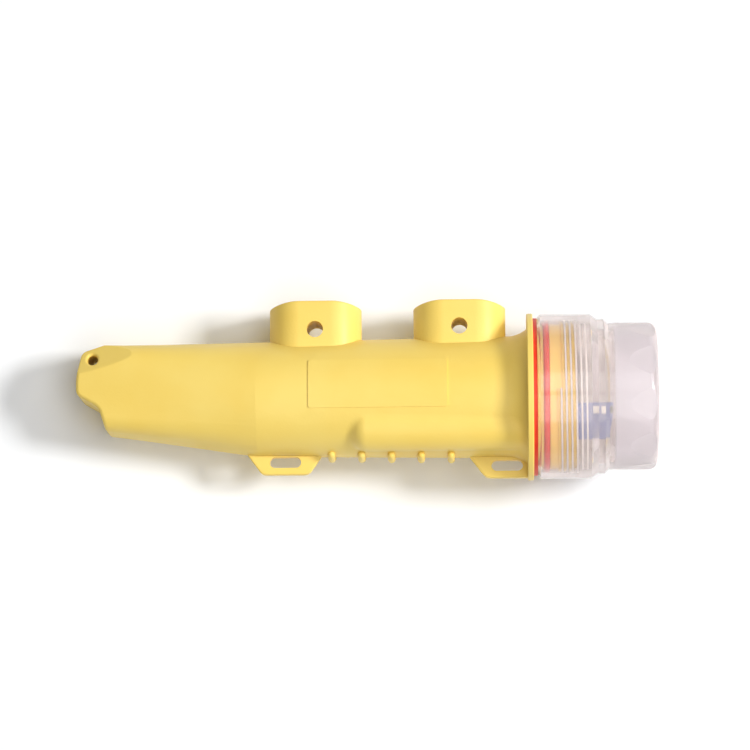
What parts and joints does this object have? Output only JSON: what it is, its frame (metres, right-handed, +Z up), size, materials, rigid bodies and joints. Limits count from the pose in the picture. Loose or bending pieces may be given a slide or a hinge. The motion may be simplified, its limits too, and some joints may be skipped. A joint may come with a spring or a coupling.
{
  "type": "fishing net beacon buoy",
  "caption": "Lying moulded net buoy with a flat-sided tail, pole saddles, rope lugs and a clear screw cap over its beacon lamp.",
  "frame": {"origin": "on the floor, under the middle of the outline of the buoy as it lies on its back", "axes": "+X along the floor from the tail towards the lamp, +Y towards the saddles, +Z up from the floor"},
  "size_m": [0.302, 0.0924, 0.0882],
  "materials": {
    "hull_plastic": "satin moulded yellow plastic",
    "cell_jacket": "shrink-wrapped battery cell",
    "deck_plastic": "pale grey plastic",
    "board": "blue circuit board",
    "emitter_lens": "white lamp emitter",
    "sensor_plastic": "dark light sensor",
    "seal_rubber": "red silicone rubber",
    "cap_plastic": "clear skirt and frosted head"
  },
  "bodies": {
    "hull": {"hull": "hull_plastic", "saddle_tail": "hull_plastic", "saddle_lamp": "hull_plastic", "lug_tail": "hull_plastic", "lug_lamp": "hull_plastic", "ribs": "hull_plastic", "battery_cells": "cell_jacket", "deck": "deck_plastic", "lamp_board": "board", "emitters": "emitter_lens", "light_sensor": "sensor_plastic", "neck_seal": "seal_rubber"},
    "cap_seal": {"flange_seal": "seal_rubber"},
    "cap": {"lens_cap": "cap_plastic"}
  },
  "joints": [
    {"name": "cap_travel", "type": "slide", "parent": "hull", "child": "cap_seal", "axis": [0.9955, 0, 0.095], "range_m": [0, 0.0117]},
    {"name": "cap_turn", "type": "hinge", "parent": "cap_seal", "child": "cap", "pos_m": [0.08435, -0.00318, 0.04305], "axis": [0.9955, 0, 0.095], "range_deg": [0, 1620]}
  ],
  "couplings": [
    {"joint": "cap_travel", "follows": "cap_turn", "m_per_rad": 0.0004138}
  ]
}
